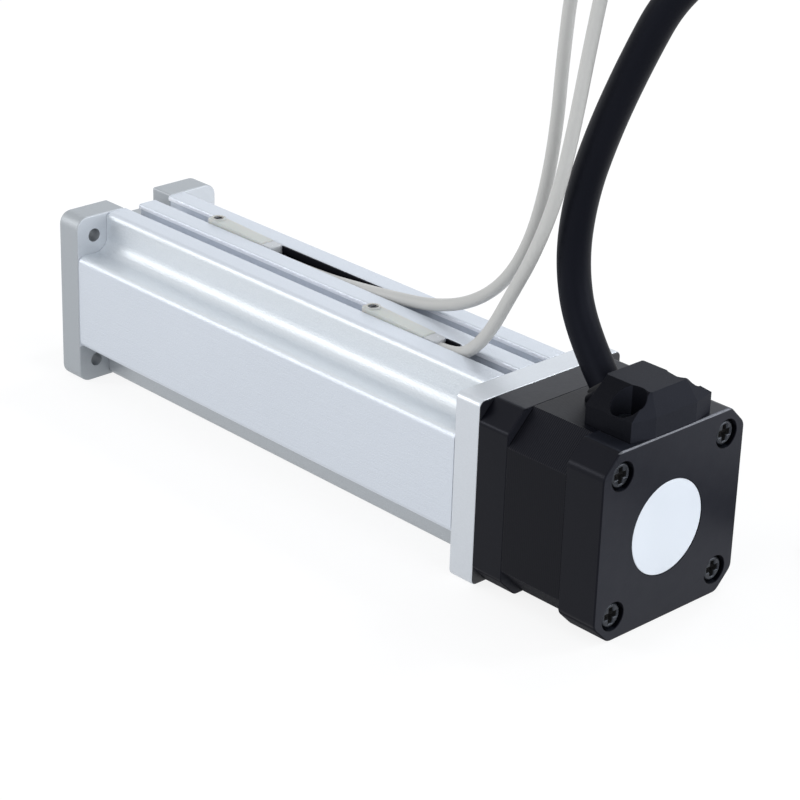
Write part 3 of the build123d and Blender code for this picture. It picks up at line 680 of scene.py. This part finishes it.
# The motor's end bells are die cast in aluminium, ground flat at their joints and sprayed
# satin black. The front one carries the pilot, the rear one four counterbores and a
# shallow round recess.
(front_bell_back, _, _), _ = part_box("front_bell")
(motor_back, _, _), (stack_back, _, _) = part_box("rear_bell")
boss_front = motor_face + pilot_depth
boss = pilot - 0.00005  # slides into the plate's pilot
shaft_hole = 0.004
bell_cut = 0.0044  # chamfer of the square, at 45 degrees
coil_pocket = 0.0172
pocket_depth = 0.003
bearing_seat = 0.00805
front_bearing_front = front_bell_back + 0.0067
rear_bearing_back = motor_back + 0.0027


def octagon(radius):
    """Square of the motor's side with cut corners, each turn an arc of that radius."""
    near = motor_side - bell_cut
    corners = [(motor_side, -near), (motor_side, near), (near, motor_side), (-near, motor_side)]
    return rounded(corners + [(-y, -z) for y, z in corners], radius)


screw_clear = 0.00155
screw_hole = [(front_bell_back, screw_clear), (motor_face, screw_clear)]
bearing_bore = [
    (front_bell_back, coil_pocket),
    (front_bell_back + pocket_depth, coil_pocket),
    (front_bell_back + pocket_depth, bearing_seat),
    (front_bearing_front, bearing_seat),
    (front_bearing_front, shaft_hole),
    (boss_front, shaft_hole),
    (boss_front, boss),
    (motor_face, boss),
]
bores = [(y, z, screw_hole) for y, z in four(motor_screw, motor_screw)]
bores += [(0, 0, bearing_bore)]
front_edges = (0.0003, 0.0001)
outline = octagon(radius=0.0015)
front_bell = machined("front_bell_casting", outline, front_bell_back, motor_face, front_edges, bores)

recess = 0.0105
recess_y = 0.0008
recess_z = -0.0003
recess_front = motor_back + 0.0004
counterbore = 0.00315
counterbore_edge = 0.0001
counterbore_floor = motor_back + 0.0027
screw_clear = 0.00165
screw_hole = [
    (motor_back, counterbore + counterbore_edge),
    (motor_back + counterbore_edge, counterbore),
    (counterbore_floor, counterbore),
    (counterbore_floor, screw_clear),
    (stack_back, screw_clear),
]
disc_recess = [(motor_back, recess), (recess_front, recess), (recess_front, 0)]
bearing_bore = [
    (rear_bearing_back, 0),
    (rear_bearing_back, bearing_seat),
    (stack_back - pocket_depth, bearing_seat),
    (stack_back - pocket_depth, coil_pocket),
    (stack_back, coil_pocket),
]
bores = [(y, z, screw_hole) for y, z in four(motor_screw, motor_screw)]
bores += [(recess_y, recess_z, disc_recess), (0, 0, bearing_bore)]
rear_edges = (0.00035, 0.00008)
outline = octagon(radius=0.0025)
rear_bell = machined("rear_bell_casting", outline, motor_back, stack_back, rear_edges, bores)
highlight_width = 0.0004  # width of the painted highlight along the top of the rear face

satin = Finish("satin black paint", {"Specular IOR Level": 0.14, "Specular Tint": (0.78, 0.82, 1.0, 1)})
peel = satin.grain(1400, 2)
mottle = satin.grain(25, 3)
painted_light_mottle = satin.grain(300, 3)
paint = satin.between(mottle, (0.0014, 0.0015, 0.0030, 1), (0.0032, 0.0034, 0.0056, 1))
# Painted light: the bells' tops get a lighter black than their sides.
top_painted_light = satin.between(painted_light_mottle, (0.008, 0.009, 0.013, 1), (0.016, 0.018, 0.025, 1))
# Painted light: the rear faces get a lighter black than the sides as well.
rear_painted_light = satin.between(painted_light_mottle, (0.013, 0.014, 0.020, 1), (0.020, 0.021, 0.027, 1))
backward = satin.facing("X") < -0.96
upward = satin.facing("Z") > 0.95
underneath = satin.facing("Z") < -0.3
# Painted highlight: a thin light metallic line along the top edge of the rear face.
painted_highlight_edge = (satin.axis("X") < motor_back + highlight_width) * (satin.axis("Z") > motor_side - highlight_width)
flat = satin.between(upward, satin.between(backward, paint, rear_painted_light), top_painted_light)
satin.show(
    {
        "Base Color": satin.between(painted_highlight_edge, flat, (0.12, 0.124, 0.138, 1)),
        "Metallic": 0.8 * painted_highlight_edge,
        "Roughness": 0.28 + 0.1 * peel + 0.5 * underneath,
        "Normal": satin.relief(peel + 0.5 * satin.grain(5000), 0.00001),
    }
)
for bell, node in ((front_bell, "front_bell"), (rear_bell, "rear_bell")):
    satin.paint(bell)
    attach(bell, "body")
    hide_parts(node)

# The stator is a stack of steel sheets half a millimetre thick, painted with the bells.
# Its sides are ground smooth, and the sheets' edges show as fine lines on its cut corners.
sheet = 0.0005
corner_from = 0.0348  # |y| + |z| at the cut corners
sheets = Finish("painted laminations", {"Specular IOR Level": 0.12, "Specular Tint": (0.75, 0.78, 1.0, 1)})
cut_corner = abs(sheets.axis("Y")) + abs(sheets.axis("Z")) > corner_from
lines = sheets.waves("X", sheet) * (0.12 + 0.88 * cut_corner)
brush = sheets.grain(40, 2, (1, 0.1, 1))
film_of_paint = sheets.between(lines, (0.0012, 0.0013, 0.0022, 1), (0.0080, 0.0085, 0.0115, 1))
# Painted light: the stack's top gets a lighter black than its sides.
stack_top_painted_light = sheets.between(brush, (0.003, 0.0035, 0.0055, 1), (0.008, 0.009, 0.013, 1))
sheets.show(
    {
        "Base Color": sheets.between(sheets.facing("Z") > 0.95, film_of_paint, stack_top_painted_light),
        "Roughness": 0.34 + 0.1 * sheets.grain(1500) + 0.5 * (sheets.facing("Z") < -0.3),
        "Normal": sheets.relief(lines, 0.00004, edge=0.0002),
    }
)
sheets.paint("stator_stack", "rotor_cups")

# Four long M3 screws clamp bells and stack together. Their heads are upset in steel wire
# with a deep cross recess, rounded at its mouth, and oxidised black.
head = 0.0027
head_height = 0.0022
head_back = counterbore_floor - head_height
crown = 0.0006  # rounding of the head's edge
cross_half = 0.00055  # half of the width of each arm of the cross
cross_reach = 0.0020
cross_depth = 0.0013
cross_slope = 0.0006
shallower = 0.35  # share of the depth that is lost towards the ends of the arms
shank = 0.0015
shank_end = front_bell_back + 0.0034
around_head = 120
innermost = 0.00005  # radius of a head's first ring
dark_from = 0.0003  # depths between which the cross gets painted shade
dark_to = 0.0016


def smooth_step(share):
    """0 for a share below 0, 1 above 1, and 3 s^2 - 2 s^3 between."""
    share = np.clip(share, 0, 1)
    return share * share * (3 - 2 * share)


def cross_head(y, z):
    """Rings of a head at (y, z), from a small one near its middle out to its side.

    The back is at head_back, falls off at its edge by crown * (1 - cos a) where the radius
    is head - crown + crown * sin a, and sinks by cross_depth inside a cross. It sinks over
    cross_slope from the cross's outline inwards, and less towards the ends of its arms.
    """
    rise = np.linspace(0, np.pi / 2, 6)
    flat_part = np.linspace(innermost, head - crown, 30)
    radius = np.concatenate([flat_part, head - crown + crown * np.sin(rise[1:])])
    fall = np.concatenate([0 * flat_part, crown * (1 - np.cos(rise[1:]))])
    turn = np.linspace(0, 2 * np.pi, around_head, endpoint=False)
    across = radius[:, None] * np.cos(turn)
    up = radius[:, None] * np.sin(turn)
    shorter = np.minimum(abs(across), abs(up))
    longer = np.maximum(abs(across), abs(up))
    inside = np.minimum(cross_half + cross_slope / 2 - shorter, cross_reach - longer)
    sink = cross_depth * smooth_step(inside / cross_slope) * (1 - shallower * longer / cross_reach)
    return np.stack([head_back + fall[:, None] + sink, y + across, z + up], axis=-1)


skin = Skin()
for y, z in four(motor_screw, motor_screw):
    rings = cross_head(y, z)
    rest = [(counterbore_floor, head), (counterbore_floor, shank), (shank_end, shank)]
    rest = np.stack([circle(x, radius, y, z, around_head) for x, radius in rest])
    skin.cap(rings[0])
    skin.grid(np.concatenate([rings, rest]))
    skin.cap(rest[-1])
motor_screws = skin.piece("cross_screws", smooth_below=50)
oxide = Finish("black oxidised steel", {"Metallic": 0.6})
# Painted shade: the cross recess is coloured near black between those depths.
cross_painted_shade = (oxide.axis("X") > head_back + dark_from) * (oxide.axis("X") < head_back + dark_to)
patina = oxide.grain(900)
blued = oxide.between(patina, (0.020, 0.023, 0.030, 1), (0.036, 0.041, 0.052, 1))
oxide.show(
    {
        "Base Color": oxide.between(cross_painted_shade, blued, (0.0015, 0.0015, 0.002, 1)),
        "Roughness": 0.24 + 0.08 * patina + 0.4 * cross_painted_shade,
        "Normal": oxide.relief(oxide.grain(4000), 0.000006, edge=0.0002),
    }
)
oxide.paint(motor_screws, "flange_screws", "adapter_screws", "motor_fixing_screws", "coupling_screws")
oxide.paint("cover_screws", "bearing_retainer", "lock_nut", "sensor_1_screw", "sensor_2_screw")
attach(motor_screws, "body")
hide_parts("motor_screws")

# A blank disc of white film is stuck in the round recess of the rear bell. It is die cut,
# and its edge is slightly domed.
disc = 0.01035
(disc_back, _, _), (disc_front, _, _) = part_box("rear_disc")
dome = 0.00008
disc_profile = [
    (disc_back, 0),
    (disc_back, disc - 3 * dome),
    (disc_back + 0.3 * dome, disc - dome),
    (disc_back + dome, disc),
    (disc_front, disc),
    (disc_front, 0),
]
skin = Skin()
skin.lathe(disc_profile, recess_y, recess_z, steps=128)
white_disc = skin.piece("white_disc")
film = Finish("white film", {"Specular IOR Level": 0.5})
film.show(
    {
        "Base Color": film.between(film.grain(30, 3), (0.83, 0.88, 0.95, 1), (0.875, 0.925, 0.985, 1)),
        "Roughness": 0.3 + 0.08 * film.grain(300),
        "Normal": film.relief(film.grain(900), 0.000006),
    }
)
film.paint(white_disc)
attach(white_disc, "body")
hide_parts("rear_disc")

# The cable cover is moulded in black glass-filled nylon with a matt skin. Two screws in
# deep counterbores hold it on the motor, and a thin web closes each counterbore towards
# the cover's end. The strips in the slots behind the sensors look the same; they are dark
# pieces put in as painted shade inside the slots.
cover_ends = (0.0124, -0.0114)  # along Y, at the counterbores
cover_screw_x = motor_back + 0.0057
web_half = 0.0022  # half of its length along X
web_top = motor_side + 0.0043
web_foot = motor_side + 0.0010
web_inside = 0.0004  # how deep it lies in the cover
web_proud = 0.00002  # how far it stands out of the cover's end
web_corner = 0.0001
web_edges = (0.00004, 0.00004)
moulded = Finish("matt black moulding", {"Specular IOR Level": 0.09, "Specular Tint": (0.78, 0.82, 1.0, 1)})
matt = moulded.grain(3800, 3)
patches = moulded.grain(60, 3)
plain_black = moulded.between(patches, (0.0014, 0.0016, 0.0028, 1), (0.0030, 0.0034, 0.0052, 1))
top_and_rear_painted_light = moulded.between(patches, (0.012, 0.013, 0.018, 1), (0.018, 0.0195, 0.026, 1))
# Painted light: the cover's top and its faces towards the back get a lighter black than its sides.
painted_light_faces = (moulded.facing("Z") > 0.95) + (moulded.facing("X") < -0.5)
moulded.show(
    {
        "Base Color": moulded.between(painted_light_faces, plain_black, top_and_rear_painted_light),
        "Roughness": 0.5 + 0.12 * matt,
        "Normal": moulded.relief(matt, 0.00003, edge=0.00025),
    }
)
moulded.paint("cable_cover", "sensor_1_liner", "sensor_2_liner")
for number, end in enumerate(cover_ends, 1):
    out = np.sign(end)
    left, right = sorted([end - out * web_inside, end + out * web_proud])
    corners = [(left, web_foot), (right, web_foot), (right, web_top), (left, web_top)]
    web = machined(
        f"cover_web_{number}",
        rounded(corners, web_corner),
        cover_screw_x - web_half,
        cover_screw_x + web_half,
        web_edges,
        [],
    )
    moulded.paint(web)
    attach(web, "body")

# The sensors are moulded in ivory plastic round a small circuit board, and closed at one
# end with a milky resin that its lamp shines through. A screw wedges each in its slot.
ivory = Finish("ivory plastic", {"Specular IOR Level": 0.4, "Subsurface Weight": 0.1})
ivory.show(
    {
        "Base Color": ivory.between(ivory.grain(120, 3), (0.54, 0.535, 0.50, 1), (0.64, 0.635, 0.60, 1)),
        "Roughness": 0.42 + 0.1 * ivory.grain(1200),
        "Normal": ivory.relief(ivory.grain(3500), 0.00002, edge=0.0003),
    }
)
ivory.paint("sensor_1_body", "sensor_2_body")
milky = Finish("milky resin", {"Specular IOR Level": 0.5, "Transmission Weight": 0.25, "IOR": 1.45})
milky.show(
    {
        "Base Color": milky.between(milky.grain(150, 3), (0.62, 0.64, 0.66, 1), (0.72, 0.74, 0.77, 1)),
        "Roughness": 0.2 + 0.1 * milky.grain(900),
        "Normal": milky.relief(milky.grain(2500), 0.00002, edge=0.0003),
    }
)
milky.paint("sensor_1_tip", "sensor_2_tip")

# The lead screw, the shafts, the bearings and the end of the rod are bright steel, turned
# and ground.
steel = Finish("ground steel", {"Metallic": 1.0})
turning = steel.grain(3000, 2, (1, 0.05, 0.05))
steel.show(
    {
        "Base Color": steel.between(steel.grain(300), (0.52, 0.52, 0.52, 1), (0.62, 0.62, 0.61, 1)),
        "Roughness": 0.2 + 0.15 * turning,
        "Normal": steel.relief(turning, 0.00001, edge=0.0002),
    }
)
steel.paint("lead_screw", "motor_shaft", "wave_washer", "rod_end")
steel.paint("screw_bearing_inners", "screw_bearing_outers", "motor_bearing_inners", "motor_bearing_outers")

# The rod is ground steel tube with a layer of hard chrome, polished so that the bush and
# the wiper last.
chrome = Finish("hard chrome", {"Metallic": 1.0})
polish = chrome.grain(2500, 2, (1, 0.05, 0.05))
chrome.show(
    {
        "Base Color": chrome.between(chrome.grain(150), (0.60, 0.61, 0.63, 1), (0.68, 0.69, 0.71, 1)),
        "Roughness": 0.08 + 0.08 * polish,
        "Normal": chrome.relief(polish, 0.000004, edge=0.0003),
    }
)
chrome.paint("push_rod")

# The rod's bush is pressed and sintered from bronze powder and soaked in oil. The nut is
# cut from bronze and looks much the same.
bronze = Finish("sintered bronze", {"Metallic": 0.95})
pores = bronze.grain(6000, 3)
bronze.show(
    {
        "Base Color": bronze.between(pores, (0.30, 0.17, 0.065, 1), (0.52, 0.33, 0.14, 1)),
        "Roughness": 0.3 + 0.25 * pores,
        "Normal": bronze.relief(pores, 0.00003, edge=0.0002),
    }
)
bronze.paint("rod_bush", "screw_nut")

# The carrier's wear ring and its two keys, which stop it from turning, are cut from white
# acetal and let into its rim.
acetal = Finish("acetal", {"Specular IOR Level": 0.5})
acetal.show(
    {
        "Base Color": acetal.between(acetal.grain(200), (0.70, 0.69, 0.64, 1), (0.80, 0.79, 0.75, 1)),
        "Roughness": 0.4 + 0.1 * acetal.grain(900),
        "Normal": acetal.relief(acetal.grain(3000), 0.00002, edge=0.0002),
    }
)
acetal.paint("wear_ring", "guide_keys")

# The ring magnet on the carrier, which the sensors feel, and the rotor's magnet are
# pressed and sintered ferrite.
ferrite = Finish("ferrite", {"Metallic": 0.3})
crystals = ferrite.grain(2500, 4)
ferrite.show(
    {
        "Base Color": ferrite.between(crystals, (0.022, 0.021, 0.021, 1), (0.06, 0.058, 0.056, 1)),
        "Roughness": 0.5 + 0.2 * ferrite.grain(1500),
        "Normal": ferrite.relief(ferrite.grain(5000, 4), 0.00004, edge=0.0003),
    }
)
ferrite.paint("piston_magnet", "rotor_magnet")

# The stator's eight coils are wound from enamelled copper wire round its teeth, turn
# beside turn.
wire_pitch = 0.0004
enamel = Finish("enamelled copper wire", {"Metallic": 0.9})
turns = enamel.waves("X", wire_pitch)
enamel.show(
    {
        "Base Color": enamel.between(turns, (0.20, 0.06, 0.02, 1), (0.55, 0.22, 0.08, 1)),
        "Roughness": 0.25 + 0.1 * enamel.grain(1500),
        "Normal": enamel.relief(turns, 0.00008),
    }
)
enamel.paint("stator_coils")

# The set is a white floor under the cylinder and white all round. Small soft lamps stand
# where the edges and flat faces mirror the camera, and weaker large ones fill the sides.
floor_height = -0.0211
floor_half = 6
floor = bpy.data.objects.new("floor", bpy.data.meshes.new("floor"))
bpy.context.collection.objects.link(floor)
floor_corners = [(x, y, floor_height) for x, y in four(floor_half, floor_half)]
floor.data.from_pydata(floor_corners, [], [(0, 1, 2, 3)])


def seen_or_mirrored(finish):
    """1 for the camera's own rays and for those by way of a gloss or a clear piece, else 0."""
    kinds = ("Is Camera Ray", "Is Glossy Ray", "Is Transmission Ray")
    return sum(finish.node("ShaderNodeLightPath", {}, {}, kind) for kind in kinds)


paper = Finish("white paper", {"Roughness": 0.9, "Specular IOR Level": 0.0, "Emission Strength": 1.0})
ray = seen_or_mirrored(paper)
paper.show(
    {
        "Base Color": paper.between(ray, (0.8, 0.8, 0.8, 1), (0.2, 0.2, 0.2, 1)),
        "Emission Color": paper.between(ray, (0, 0, 0, 1), (0.84, 0.84, 0.84, 1)),
    }
)
paper.paint(floor)

studio = Finish("studio", {}, bpy.data.worlds, "Background")
studio.show({"Color": studio.between(seen_or_mirrored(studio), (0.53, 0.55, 0.58, 1), (1, 1, 1, 1))})
bpy.context.scene.world = studio.owner

# Each lamp has its direction from the object, distance, diameter, watts and colour.
lamps = {
    "far_lamp": ((0.66, 0.66, 0.36), 0.9, 0.3, 1.7, (1.0, 0.99, 0.97)),
    "near_lamp": ((-0.41, -0.63, 0.66), 0.9, 0.22, 1.1, (0.95, 0.975, 1.0)),
    "key_lamp": ((0.05, -0.54, 0.84), 0.9, 0.14, 1.15, (0.93, 0.965, 1.0)),
    "sheen_lamp": ((0.66, -0.63, 0.41), 0.9, 0.6, 0.3, (0.88, 0.94, 1.0)),
    "side_lamp": ((-0.15, 0.95, 0.35), 1.0, 0.7, 1.75, (0.98, 0.99, 1.0)),
    "rear_lamp": ((-0.8, -0.55, 0.12), 1.0, 0.5, 2.7, (0.97, 0.985, 1.0)),
    "back_lamp": ((-0.95, 0.15, 0.3), 1.0, 0.5, 1.6, (0.97, 0.985, 1.0)),
}
aim = Vector((-0.09, 0.0, 0.01))
for name, (way, distance, diameter, watts, colour) in lamps.items():
    lamp = bpy.data.objects.new(name, bpy.data.lights.new(name, "AREA"))
    bpy.context.collection.objects.link(lamp)
    lamp.data.shape = "DISK"
    lamp.data.size = diameter
    lamp.data.energy = watts
    lamp.data.color = colour
    way = Vector(way).normalized()
    lamp.location = aim + distance * way
    lamp.rotation_euler = way.to_track_quat("Z", "Y").to_euler()
